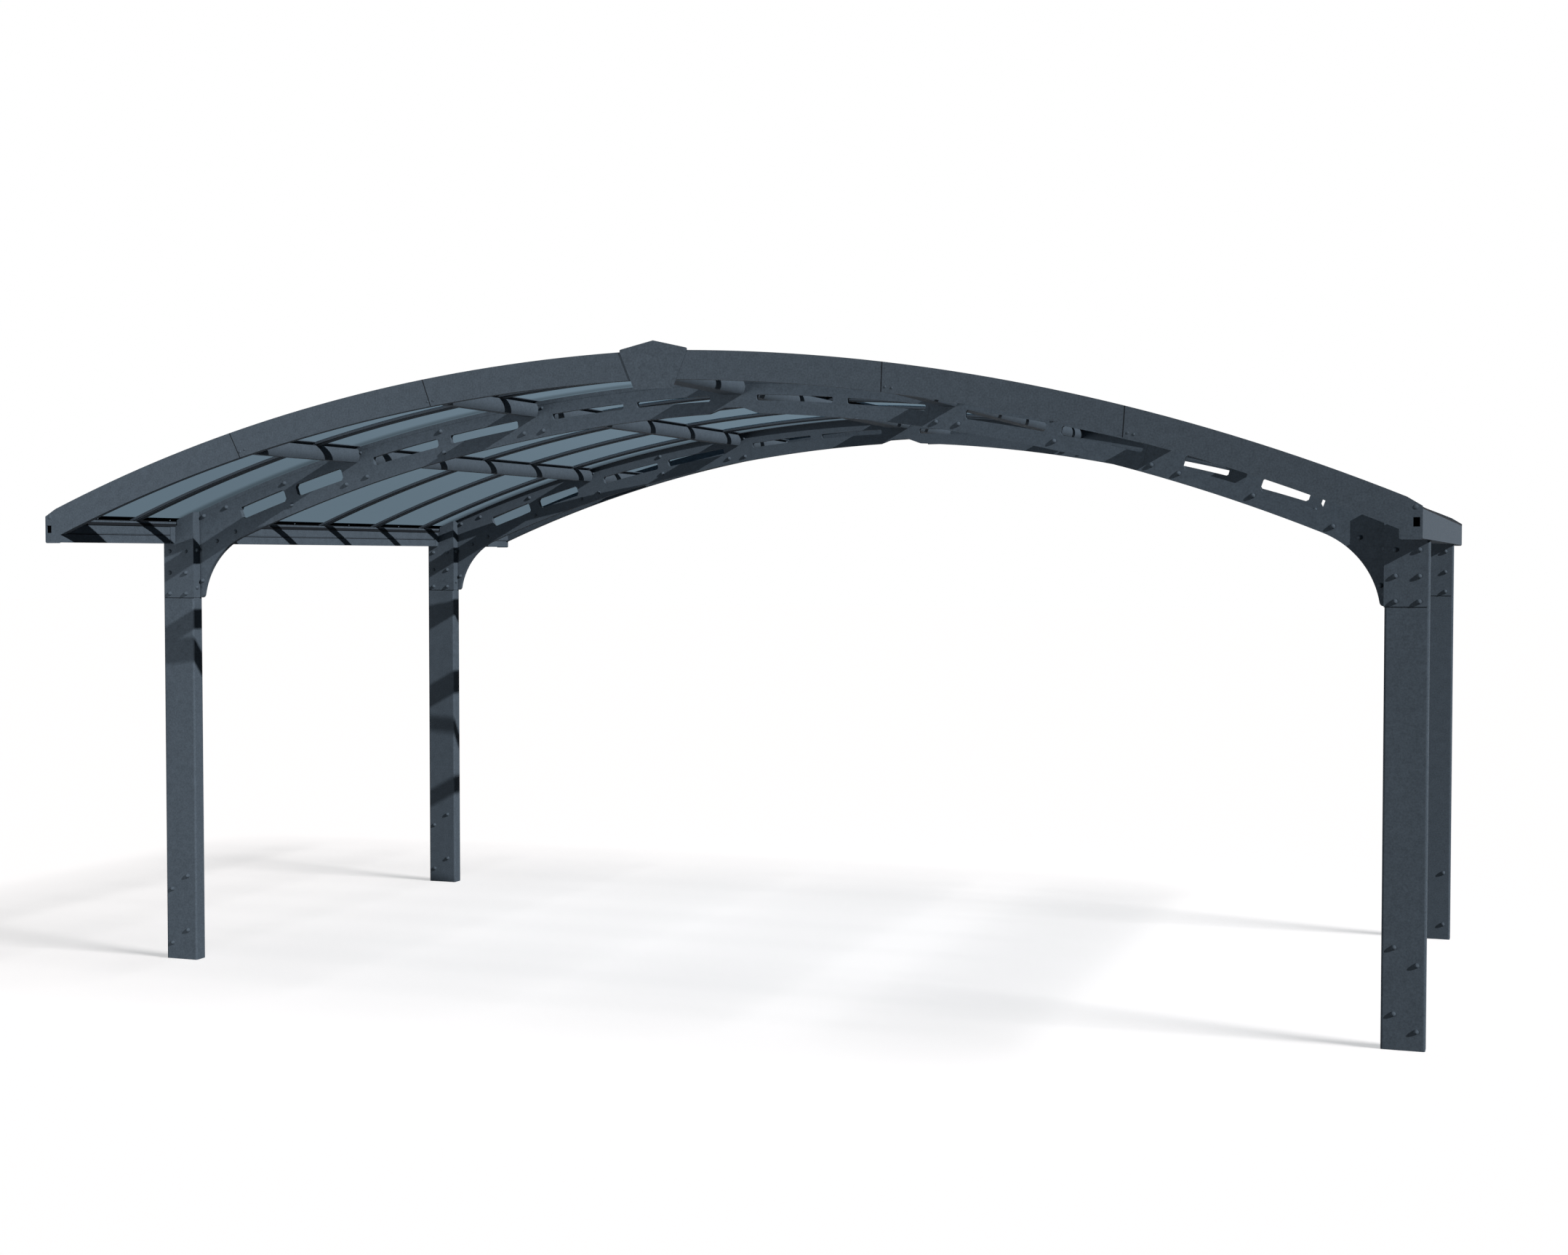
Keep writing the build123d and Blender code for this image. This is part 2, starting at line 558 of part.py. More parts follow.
def eave_strip():
    """Right-hand channel on the low edge of the panels, along the whole eave."""
    panel_edge = ROOF_EDGE - PANEL_EAVE_INSET + GLAZING_GAP
    outer = panel_edge + EAVE_STRIP_WALL
    inner = outer - EAVE_STRIP_WIDTH
    lower_inner = ROOF_EDGE - BAR_EAVE_INSET + EAVE_STRIP_GAP
    slot_top = PANEL_TOP_RADIUS + GLAZING_GAP
    slot_foot = PANEL_RADIUS - GLAZING_GAP
    low = slot_foot - EAVE_STRIP_WALL
    outline = band(slot_top + EAVE_STRIP_WALL, low, inner, outer)
    outline -= band(slot_top, slot_foot, inner - OVERRUN, panel_edge)
    outline -= band(slot_foot + GLAZING_GAP, low - OVERRUN, inner - OVERRUN, lower_inner)
    front = FASCIA_WALL + PANEL_END_GAP - ROOF_FRONT
    return slab(outline, front, -2 * front)


def purlin_centre(splice):
    """Distance of a purlin from the ridge line."""
    x, _ = arc_point(SLOT_RADIUS, station_angle(splice))
    return x + PURLIN_SET_OUT


def save(name, shape):
    """Write one node."""
    export_step(shape, os.path.join("parts", name + ".step"))


def save_pair(name, shape):
    """Write the right-hand piece and its mirror image."""
    save("right_" + name, shape)
    save("left_" + name, mirrored(shape))


def main():
    """Build every node."""
    os.makedirs("parts", exist_ok=True)
    for end, front in POST_FRONTS.items():
        post = post_tube(front)
        bracket = head_bracket(front)
        save(f"post_{end}_right", post)
        save(f"post_{end}_left", mirrored(post))
        save(f"head_bracket_{end}_right", bracket)
        save(f"head_bracket_{end}_left", mirrored(bracket))
    arch_names = ["left_eave", "left_middle", "ridge", "right_middle", "right_eave"]
    for name, outline in zip(arch_names, arch_segments()):
        for end, front in ARCH_FRONTS.items():
            save(f"{end}_arch_{name}", slab(outline, front, ARCH_THICKNESS))
    fascia_names = ["left_eave", "left_middle", "left_ridge", "right_ridge", "right_middle", "right_eave"]
    for name, piece in zip(fascia_names, fascia_segments()):
        save(f"front_fascia_{name}", piece)
        save(f"back_fascia_{name}", mirror(piece, about=Plane.XZ))
    keystone = keystone_plate()
    save("front_keystone_plate", keystone)
    save("back_keystone_plate", mirror(keystone, about=Plane.XZ))
    save("ridge_cover", ridge_cover())
    save_pair("gutter", gutter())
    save("ridge_purlin", purlin_line(0, RIDGE_PURLIN_WIDTH, RIDGE_PURLIN_FOOT_WIDTH))
    save_pair("upper_purlin", purlin_line(purlin_centre(UPPER_SPLICE), PURLIN_WIDTH, PURLIN_FOOT_WIDTH))
    save_pair("lower_purlin", purlin_line(purlin_centre(LOWER_SPLICE), PURLIN_WIDTH, PURLIN_FOOT_WIDTH))
    save_pair("roof_panels", roof_panels())
    save_pair("glazing_bars", glazing_bars())
    strip_pair = [eave_strip(), mirrored(eave_strip())]
    save("eave_strips", Compound(children=strip_pair))


main()
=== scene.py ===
import json
import math

import bmesh
import bpy
from mathutils import Matrix, Vector


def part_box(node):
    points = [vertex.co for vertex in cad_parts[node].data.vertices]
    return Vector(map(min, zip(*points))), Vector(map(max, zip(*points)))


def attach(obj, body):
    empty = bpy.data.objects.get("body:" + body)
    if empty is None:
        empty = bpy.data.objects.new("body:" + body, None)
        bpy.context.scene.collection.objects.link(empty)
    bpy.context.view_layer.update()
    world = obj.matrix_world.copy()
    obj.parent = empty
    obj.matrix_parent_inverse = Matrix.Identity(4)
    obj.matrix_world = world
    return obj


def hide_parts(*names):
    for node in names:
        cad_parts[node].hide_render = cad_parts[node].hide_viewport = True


bl_info = {
    "name": "Double carport",
    "version": (1, 0, 0),
    "blender": (4, 5, 0),
    "location": "View3D > Sidebar > Carport",
    "description": "Finishes, fasteners and thin trim of a double carport, with its stage",
    "category": "Object",
}

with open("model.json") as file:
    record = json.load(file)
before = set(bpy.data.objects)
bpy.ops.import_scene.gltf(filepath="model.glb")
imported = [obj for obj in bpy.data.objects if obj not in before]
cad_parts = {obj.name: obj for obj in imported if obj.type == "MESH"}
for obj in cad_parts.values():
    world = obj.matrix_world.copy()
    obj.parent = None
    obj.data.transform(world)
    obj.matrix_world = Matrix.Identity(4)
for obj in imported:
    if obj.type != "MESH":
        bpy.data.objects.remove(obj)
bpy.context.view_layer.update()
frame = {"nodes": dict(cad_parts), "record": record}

BODY = "root"
FRAME_SLOT = "frame_coating"
TRIM_SLOT = "trim_coating"
BAR_SLOT = "bar_coating"
GLAZING_SLOT = "glazing"
EAVE_STRIPS = "eave_strips"
ENDS = ("front", "back")
SIDE_NAMES = ("left", "right")
SIDES = (-1, 1)
UP = Vector((0, 0, 1))
FRONT = Vector((0, -1, 0))

# Roof form in metres, as in the part
ROOF_RADIUS = 6.623
ROOF_OFFSET = 0.111
RIDGE_HEIGHT = 2.363
ROOF_FRONT = -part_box("front_fascia_right_ridge")[0].y
FASCIA_WALL = 0.003
FASCIA_LOWER_RADIUS = 6.5245
PANEL_RADIUS = 6.590
BAR_RADIUS = 6.5775
ARCH_RADIUS = 6.585
BAY_COUNT = 8
CENTRE_HEIGHT = RIDGE_HEIGHT - math.sqrt(ROOF_RADIUS**2 - ROOF_OFFSET**2)
BAY = 2 * (ROOF_FRONT - FASCIA_WALL) / BAY_COUNT
BAY_ENDS = [BAY * index - ROOF_FRONT + FASCIA_WALL for index in range(BAY_COUNT + 1)]

# Curved trim: ends as distances from the ridge, rise and gaps, and steps along the arc
BAR_RIDGE_X, BAR_EAVE_X = [corner.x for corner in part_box("right_glazing_bars")]
ARCH_RIDGE_X = 0.001
ARCH_EDGE_RISE = 0.0008
SEAT_GAP = 0.0003
SEAT_END_GAP = 0.001
ARC_STEPS = 32
SEAT_STEPS = 2

# Faces that carry fasteners and joints, from the frame, and the wall of a head bracket
POST_FACES = [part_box("post_" + end + "_right")[0].y for end in ENDS]
POST_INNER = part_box("post_front_right")[0].x
PLATE_RISE = 0.0025
ARCH_BOXES = [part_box(end + "_arch_ridge") for end in ENDS]
ARCH_FACES = [low.y for low, high in ARCH_BOXES]
ARCH_MIDDLES = [(low.y + high.y) / 2 for low, high in ARCH_BOXES]

# Gutter rail and dark joints, with the painted shade in the gutter groove, under the rail and along the
# top of the outer gutter wall, and the painted shadow under the head bracket plates
DARK_LINE_RISE = 0.0003
SEAM_WIDTH = 0.003
# Width of the painted shadow line under the head bracket plates
PLATE_SHADOW_WIDTH = 0.0025
# Painted shade line in the gutter groove: height above the gutter floor, and width
GROOVE_RISE = 0.0325
GROOVE_SHADE_WIDTH = 0.003
GUTTER_INNER = 2.441
# Height of the painted shade along the top edge of the outer gutter wall
GUTTER_EDGE_SHADE = 0.005
RAIL_FACE = 2.4345
RAIL_BACK = 2.4375
RAIL_FOOT = 1.7970
RAIL_TOP = 1.8045
# Painted shade under the rail: face and foot of its strip
SHADE_FACE = 2.4362
SHADE_FOOT = 1.7865

# Places of fasteners on the right-hand half, as (distance from the middle, height)
BASE_BOLTS = [(2.395, 0.347), (2.395, 0.122), (2.470, 0.290), (2.470, 0.066)]
PLATE_BOLTS = [(x, z) for z in (1.685, 1.597, 1.512) for x in (2.388, 2.466)]
WEB_BOLTS = [
    (2.330, 1.830), (2.222, 1.865), (1.945, 1.960), (1.912, 1.872), (2.180, 1.765), (1.657, 1.952),
    (1.562, 1.982), (1.232, 2.155), (1.217, 2.072), (0.867, 2.140), (0.784, 2.149), (2.268, 1.727),
    (2.337, 1.565),
]
PURLIN_BOLTS = [(1.592, 2.077), (0.791, 2.236)]
FASCIA_END_BOLT = (2.489, 1.812)

# Rivets on both halves of the fascia, whose seams are not mirrored
FASCIA_RIVETS = [
    (0.821, 2.217), (0.844, 2.213), (1.617, 2.051), (1.637, 2.046), (-1.643, 2.046), (-1.622, 2.054),
    (-0.866, 2.210), (-0.844, 2.2135),
]

# Bolts on the returns of the head brackets: heights, and distance behind the post face
RETURN_BOLTS = (1.690, 1.537)
RETURN_SET_BACK = 0.02

# Distance of the eave screws from the middle
SCREW_X = 2.452

# Fastener heads: share of the bolt rise, and steps and cut of the dome
RETURN_RISE_SHARE = 0.7
SMALL_RISE_SHARE = 0.5
DOME_SIDES = 14
DOME_RINGS = 8
DOME_CUT = -0.01

# Angles in radians past which an edge stays sharp
DOME_ANGLE = 1.0
FOLD_ANGLE = 0.5

# Powder coats: noise of the grain, gloss and height, and share of the contrast on each coat
SPECKLE_DETAIL = 3.0
MOTTLE_DETAIL = 2.0
MOTTLE_SCALE = 0.22
MOTTLE_SHARE = 0.3
NOISE_MIDDLE = 0.5
GRAIN_SWING = 2.0
ROUGHNESS_SWING = 0.2
COAT_SPECULAR = 0.015
BUMP_STRENGTH = 0.12
BUMP_DEPTH = 0.0006
FRAME_CONTRAST = 1.0
TRIM_CONTRAST = 1.2
BAR_CONTRAST = 0.6
JOINT_AND_SHADE_CONTRAST = 0.6

# Panels: grain, gloss, share of lamp light that passes, and reach in metres and share of the tint for the
# painted shade along the arches and the painted light towards the ridge
PANEL_CONTRAST = 0.06
PANEL_ROUGHNESS = 0.04
PANEL_IOR = 1.001
PANEL_CLEARNESS = 0.8
ARCH_SHADE_REACH = (0.01, 0.06)
ARCH_SHADE_SHARE = 0.5
RIDGE_LIGHT_REACH = (0.5, 2.3)
RIDGE_LIGHT_SHARE = 1.25

# Stage: floor and sky
FLOOR_REACH = 60
FLOOR_COLOUR = (0.8, 0.77, 0.765, 1)
FLOOR_BOUNCE = (0.12, 0.12, 0.12, 1)
SKY_COLOUR = (0.94, 0.97, 1, 1)
WHITE = (1, 1, 1, 1)

# Stage: lamps and camera
KEY_DIRECTION = (-1, 0.389, -0.544)
KEY_ANGLE = math.radians(0.4)
FILL_DIRECTION = (0.25, 1, 0.1)
FILL_PLACE = (-3.0, -6.99, 1.2)
FILL_SIZE = 2.5
WASH_DIRECTION = (-1, 0.13, -1.1)
WASH_ANGLE = math.radians(14)
BACK_DIRECTION = (0.55, -1, -0.45)
BACK_ANGLE = math.radians(10)
CAMERA_PLACE = (2.8228, -8.4749, 1.6595)
CAMERA_DIP = 0.03319
CAMERA_TURN = 0.34125
CAMERA_LENS = 48.39
CAMERA_SENSOR = 36
CAMERA_REACH = 200


def slot_colour(slot):
    """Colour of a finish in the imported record."""
    for entry in frame["record"]["materials"]:
        if entry["slot"] == slot:
            return tuple(entry["base_color"][:3])
    raise KeyError(slot)


class CarportFinish(bpy.types.PropertyGroup):
    """Colours and grain of the coatings and the glazing."""

    frame_colour: bpy.props.FloatVectorProperty(
        name="Frame", description="Powder coat of posts, arches and purlins",
        subtype="COLOR", size=3, min=0, max=1, default=slot_colour(FRAME_SLOT))
    trim_colour: bpy.props.FloatVectorProperty(
        name="Trim", description="Powder coat of the fascia, gutters and covers",
        subtype="COLOR", size=3, min=0, max=1, default=slot_colour(TRIM_SLOT))
    bar_colour: bpy.props.FloatVectorProperty(
        name="Bars", description="Coating of the glazing bars",
        subtype="COLOR", size=3, min=0, max=1, default=slot_colour(BAR_SLOT))
    # Near-black coat of the eave strips and open joints, also used for the painted shade and painted
    # shadow lines
    joint_and_shade_colour: bpy.props.FloatVectorProperty(
        name="Joints and shade", description="Eave strips, gutter seals and open joints",
        subtype="COLOR", size=3, min=0, max=1, default=(0.012, 0.014, 0.017))
    panel_tint: bpy.props.FloatVectorProperty(
        name="Panels", description="Light that passes through a panel",
        subtype="COLOR", size=3, min=0, max=1, default=(0.117, 0.167, 0.208))
    grain_size: bpy.props.FloatProperty(
        name="Grain", description="Width of the speckle of the powder coat",
        unit="LENGTH", min=0.001, max=0.05, default=0.006)
    grain_contrast: bpy.props.FloatProperty(
        name="Contrast", description="Strength of the speckle",
        subtype="FACTOR", min=0, max=1, default=0.5)
    roughness: bpy.props.FloatProperty(
        name="Roughness", description="Roughness of the powder coat",
        subtype="FACTOR", min=0, max=1, default=0.7)


class CarportFasteners(bpy.types.PropertyGroup):
    """Sizes of bolts, rivets and screws."""

    bolt_diameter: bpy.props.FloatProperty(
        name="Bolt", description="Width of the domed bolt heads",
        unit="LENGTH", min=0.005, max=0.05, default=0.018)
    bolt_rise: bpy.props.FloatProperty(
        name="Bolt rise", description="Height of the domed bolt heads",
        unit="LENGTH", min=0.001, max=0.03, default=0.012)
    small_diameter: bpy.props.FloatProperty(
        name="Small bolt", description="Width of the bolts of the purlin ends",
        unit="LENGTH", min=0.003, max=0.03, default=0.012)
    rivet_diameter: bpy.props.FloatProperty(
        name="Rivet", description="Width of the rivets beside the fascia seams",
        unit="LENGTH", min=0.003, max=0.03, default=0.009)
    end_diameter: bpy.props.FloatProperty(
        name="End bolt", description="Width of the bolt on each end of the front fascia",
        unit="LENGTH", min=0.003, max=0.03, default=0.016)
    rivet_rise: bpy.props.FloatProperty(
        name="Rivet rise", description="Height of the rivets and end bolts",
        unit="LENGTH", min=0.0005, max=0.02, default=0.0025)
    screw_diameter: bpy.props.FloatProperty(
        name="Screw", description="Width of the screws at the low edge of the panels",
        unit="LENGTH", min=0.003, max=0.03, default=0.008)
    screw_rise: bpy.props.FloatProperty(
        name="Screw rise", description="Height of those screws",
        unit="LENGTH", min=0.0005, max=0.02, default=0.004)


class CarportTrim(bpy.types.PropertyGroup):
    """Sizes of the thin trim."""

    bar_width: bpy.props.FloatProperty(
        name="Bar", description="Width of a glazing bar under the panels",
        unit="LENGTH", min=0.01, max=0.2, default=0.046)
    bar_flange: bpy.props.FloatProperty(
        name="Bar flange", description="Depth of the wide part of a bar",
        unit="LENGTH", min=0.002, max=0.05, default=0.009)
    rib_width: bpy.props.FloatProperty(
        name="Bar rib", description="Width of the narrow part of a bar",
        unit="LENGTH", min=0.005, max=0.2, default=0.034)
    arch_strip: bpy.props.FloatProperty(
        name="Arch edge", description="Width of the folded edge along the top of the front arch",
        unit="LENGTH", min=0.002, max=0.05, default=0.015)
    arch_flange: bpy.props.FloatProperty(
        name="Arch flange", description="Reach of the flange along the top of the back arch",
        unit="LENGTH", min=0.002, max=0.05, default=0.024)
    flange_wall: bpy.props.FloatProperty(
        name="Flange wall", description="Thickness of that flange",
        unit="LENGTH", min=0.001, max=0.01, default=0.003)
    seat_width: bpy.props.FloatProperty(
        name="Panel seat", description="Width of the flat seat on top of a purlin",
        unit="LENGTH", min=0.01, max=0.2, default=0.058)
    seat_depth: bpy.props.FloatProperty(
        name="Seat depth", description="Thickness of that seat",
        unit="LENGTH", min=0.001, max=0.01, default=0.003)


class CarportStage(bpy.types.PropertyGroup):
    """Strength of the light on the carport and on the floor."""

    key_strength: bpy.props.FloatProperty(
        name="Key", description="Strength of the hard light from the right",
        min=0, max=50, default=4.9)
    fill_power: bpy.props.FloatProperty(
        name="Fill", description="Power of the soft light in front on the left",
        unit="POWER", min=0, max=5000, default=220.0)
    back_strength: bpy.props.FloatProperty(
        name="Back", description="Strength of the light from behind on the left",
        min=0, max=50, default=3.0)
    floor_strength: bpy.props.FloatProperty(
        name="Floor light", description="Strength of the soft light on the floor",
        min=0, max=10, default=2.34)
    ambient: bpy.props.FloatProperty(
        name="Ambient", description="Level of the light from all round",
        min=0, max=2, default=0.1)
    floor_glow: bpy.props.FloatProperty(
        name="Floor white", description="Least brightness of the floor in the picture",
        subtype="FACTOR", min=0, max=1, default=0.5)


def settings(name):
    """One property group of the scene."""
    return getattr(bpy.context.scene, name)


def roof_angle(radius, x):
    """Angle from the vertical about the centre of the right-hand roof arc."""
    return math.asin((x + ROOF_OFFSET) / radius)


def roof_height(radius, x):
    """Height of the roof line of this radius at a distance from the ridge."""
    return CENTRE_HEIGHT + math.sqrt(radius**2 - (abs(x) + ROOF_OFFSET) ** 2)


def math_node(tree, operation, *values):
    """Result of a math node in a node tree, fed with sockets and numbers."""
    node = tree.nodes.new("ShaderNodeMath")
    node.operation = operation
    for socket, value in zip(node.inputs, values):
        if isinstance(value, bpy.types.NodeSocket):
            tree.links.new(value, socket)
        else:
            socket.default_value = value
    return node.outputs[0]


def scaled(tree, colour, share):
    """Colour times a share that changes over the surface."""
    node = tree.nodes.new("ShaderNodeVectorMath")
    node.operation = "SCALE"
    tree.links.new(colour, node.inputs[0])
    tree.links.new(share, node.inputs["Scale"])
    return node.outputs["Vector"]


def ramp(tree, value, reach, shares):
    """Smooth change from one share to another over a reach."""
    node = tree.nodes.new("ShaderNodeMapRange")
    node.interpolation_type = "SMOOTHSTEP"
    for label, number in zip(("From Min", "From Max", "To Min", "To Max"), (*reach, *shares)):
        node.inputs[label].default_value = number
    tree.links.new(value, node.inputs["Value"])
    return node.outputs["Result"]


def noise(tree, place, scale, detail):
    """Noise of a scale at a place."""
    node = tree.nodes.new("ShaderNodeTexNoise")
    node.inputs["Detail"].default_value = detail
    tree.links.new(place, node.inputs["Vector"])
    tree.links.new(scale, node.inputs["Scale"])
    return node.outputs["Fac"]


def seen_rays(tree):
    """1 where a ray shows the surface to the camera, straight, by a reflection or through a panel."""
    path = tree.nodes.new("ShaderNodeLightPath")
    seen = math_node(tree, "MAXIMUM", path.outputs["Is Camera Ray"], path.outputs["Is Glossy Ray"])
    return math_node(tree, "MAXIMUM", seen, path.outputs["Is Transmission Ray"])


def coat_grain():
    """Shared grain of coats and panels: speckled colour, roughness and height."""
    name = "coat_grain"
    if name in bpy.data.node_groups:
        return bpy.data.node_groups[name]
    group = bpy.data.node_groups.new(name, "ShaderNodeTree")
    for label, kind in (("Colour", "NodeSocketColor"), ("Grain Scale", "NodeSocketFloat"),
                        ("Contrast", "NodeSocketFloat"), ("Roughness", "NodeSocketFloat")):
        group.interface.new_socket(name=label, in_out="INPUT", socket_type=kind)
    for label, kind in (("Colour", "NodeSocketColor"), ("Roughness", "NodeSocketFloat"),
                        ("Height", "NodeSocketFloat")):
        group.interface.new_socket(name=label, in_out="OUTPUT", socket_type=kind)
    link = group.links.new
    source = group.nodes.new("NodeGroupInput")
    result = group.nodes.new("NodeGroupOutput")
    place = group.nodes.new("ShaderNodeTexCoord").outputs["Object"]
    scale = source.outputs["Grain Scale"]
    speckle = noise(group, place, scale, SPECKLE_DETAIL)
    mottle = noise(group, place, math_node(group, "MULTIPLY", scale, MOTTLE_SCALE), MOTTLE_DETAIL)
    blend = group.nodes.new("ShaderNodeMix")
    blend.inputs["Factor"].default_value = MOTTLE_SHARE
    link(speckle, blend.inputs["A"])
    link(mottle, blend.inputs["B"])
    centred = math_node(group, "SUBTRACT", blend.outputs["Result"], NOISE_MIDDLE)
    swing = math_node(group, "MULTIPLY", centred, source.outputs["Contrast"])
    level = math_node(group, "MULTIPLY_ADD", swing, GRAIN_SWING, 1.0)
    rough = math_node(group, "MULTIPLY_ADD", centred, ROUGHNESS_SWING, source.outputs["Roughness"])
    link(scaled(group, source.outputs["Colour"], level), result.inputs["Colour"])
    link(rough, result.inputs["Roughness"])
    link(speckle, result.inputs["Height"])
    return group


def grain_node(tree, colour, contrast):
    """Shared grain in a material, with a colour and contrast of its own."""
    grain = tree.nodes.new("ShaderNodeGroup")
    grain.node_tree = coat_grain()
    grain.inputs["Colour"].default_value = (*colour, 1)
    grain.inputs["Grain Scale"].default_value = 1 / settings("carport_finish").grain_size
    grain.inputs["Contrast"].default_value = contrast
    return grain


def powder_coat(name, colour, contrast_share):
    """Matt powder coat with a fine speckle."""
    if name in bpy.data.materials:
        return bpy.data.materials[name]
    finish = settings("carport_finish")
    material = bpy.data.materials.new(name)
    material.use_nodes = True
    tree = material.node_tree
    link = tree.links.new
    shader = tree.nodes["Principled BSDF"]
    shader.inputs["Specular IOR Level"].default_value = COAT_SPECULAR
    grain = grain_node(tree, colour, finish.grain_contrast * contrast_share)
    grain.inputs["Roughness"].default_value = finish.roughness
    bump = tree.nodes.new("ShaderNodeBump")
    bump.inputs["Strength"].default_value = BUMP_STRENGTH
    bump.inputs["Distance"].default_value = BUMP_DEPTH
    link(grain.outputs["Colour"], shader.inputs["Base Color"])
    link(grain.outputs["Roughness"], shader.inputs["Roughness"])
    link(grain.outputs["Height"], bump.inputs["Height"])
    link(bump.outputs["Normal"], shader.inputs["Normal"])
    return material


def panel_shade(tree):
    """Share of the tint over the panels: painted light that makes them lighter towards the ridge, and
    painted shade that makes them darker along the arches.
    """
    place = tree.nodes.new("ShaderNodeTexCoord")
    split = tree.nodes.new("ShaderNodeSeparateXYZ")
    tree.links.new(place.outputs["Object"], split.inputs[0])
    offsets = [math_node(tree, "SUBTRACT", split.outputs["Y"], middle) for middle in ARCH_MIDDLES]
    nearest = math_node(tree, "MINIMUM", *[math_node(tree, "ABSOLUTE", offset) for offset in offsets])
    # Painted shade: the tint is darker within a few centimetres of the middle of each arch
    arch_shade = ramp(tree, nearest, ARCH_SHADE_REACH, (ARCH_SHADE_SHARE, 1.0))
    from_ridge = math_node(tree, "ABSOLUTE", split.outputs["X"])
    # Painted light: the tint is lighter towards the ridge
    slope = ramp(tree, from_ridge, RIDGE_LIGHT_REACH, (RIDGE_LIGHT_SHARE, 1.0))
    return math_node(tree, "MULTIPLY", arch_shade, slope)


def tinted_panel():
    """Solar-grey panel that shades what is behind it and lets lamp light through, with painted shade
    along the arches and painted light towards the ridge in its tint.
    """
    name = "tinted_panel"
    if name in bpy.data.materials:
        return bpy.data.materials[name]
    material = bpy.data.materials.new(name)
    material.use_nodes = True
    tree = material.node_tree
    shader = tree.nodes["Principled BSDF"]
    shader.inputs["Roughness"].default_value = PANEL_ROUGHNESS
    shader.inputs["Transmission Weight"].default_value = 1.0
    shader.inputs["IOR"].default_value = PANEL_IOR
    shader.inputs["Specular IOR Level"].default_value = 0.0
    grain = grain_node(tree, settings("carport_finish").panel_tint, PANEL_CONTRAST)
    # The tint carries the painted shade and the painted light of panel_shade
    tint = scaled(tree, grain.outputs["Colour"], panel_shade(tree))
    path = tree.nodes.new("ShaderNodeLightPath")
    cover = math_node(tree, "MULTIPLY_ADD", path.outputs["Is Shadow Ray"], -PANEL_CLEARNESS, 1.0)
    tree.links.new(tint, shader.inputs["Base Color"])
    tree.links.new(cover, shader.inputs["Alpha"])
    return material


def frame_coat():
    """Coating of posts, arches, purlins and brackets."""
    return powder_coat("frame_powder_coat", settings("carport_finish").frame_colour, FRAME_CONTRAST)


def trim_coat():
    """Coating of fascia, gutters, keystone plates and cover."""
    return powder_coat("trim_powder_coat", settings("carport_finish").trim_colour, TRIM_CONTRAST)


def bar_coat():
    """Coating of the glazing bars."""
    return powder_coat("bar_powder_coat", settings("carport_finish").bar_colour, BAR_CONTRAST)


def seal_coat():
    """Near-black coating of the eave strips and the open fascia joints, and of the painted shade in the
    gutters and the painted shadow under the head bracket plates.
    """
    return powder_coat("seal_coat", settings("carport_finish").joint_and_shade_colour, JOINT_AND_SHADE_CONTRAST)


def add_piece(name, bm, material, smooth_angle):
    """Finished object from a bmesh, on the carport's body."""
    bmesh.ops.recalc_face_normals(bm, faces=bm.faces)
    mesh = bpy.data.meshes.new(name)
    bm.to_mesh(mesh)
    bm.free()
    mesh.polygons.foreach_set("use_smooth", [True] * len(mesh.polygons))
    mesh.set_sharp_from_angle(angle=smooth_angle)
    mesh.materials.append(material)
    piece = bpy.data.objects.new(name, mesh)
    bpy.context.scene.collection.objects.link(piece)
    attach(piece, BODY)
    return piece


def add_dome(bm, place, normal, diameter, rise):
    """Domed head that stands on a face."""
    made = bmesh.ops.create_uvsphere(bm, u_segments=DOME_SIDES, v_segments=DOME_RINGS, radius=1)
    below = [vert for vert in made["verts"] if vert.co.z < DOME_CUT]
    bmesh.ops.delete(bm, geom=below, context="VERTS")
    kept = [vert for vert in made["verts"] if vert.is_valid]
    rim = [edge for edge in bm.edges if edge.is_boundary]
    bmesh.ops.holes_fill(bm, edges=rim, sides=0)
    turn = UP.rotation_difference(normal).to_matrix().to_4x4()
    size = Matrix.Diagonal((diameter / 2, diameter / 2, rise, 1))
    bmesh.ops.transform(bm, matrix=Matrix.Translation(place) @ turn @ size, verts=kept)


def add_box(bm, low, high):
    """Upright box between two corners, and its mirror image on the left."""
    size = [top - bottom for bottom, top in zip(low, high)]
    middle = [(top + bottom) / 2 for bottom, top in zip(low, high)]
    for side in SIDES:
        made = bmesh.ops.create_cube(bm, size=1)
        matrix = Matrix.Translation((side * middle[0], *middle[1:])) @ Matrix.Diagonal((*size, 1))
        bmesh.ops.transform(bm, matrix=matrix, verts=made["verts"])


def add_dark_line(bm, start, end, width, normal):
    """Thin dark line on a face between two points, for an open joint or a line of painted shade or
    shadow.
    """
    along = end - start
    across = normal.cross(along).normalized()
    turn = Matrix((along.normalized(), across, normal)).transposed().to_4x4()
    size = Matrix.Diagonal((along.length, width, 2 * DARK_LINE_RISE, 1))
    made = bmesh.ops.create_cube(bm, size=1)
    matrix = Matrix.Translation((start + end) / 2) @ turn @ size
    bmesh.ops.transform(bm, matrix=matrix, verts=made["verts"])


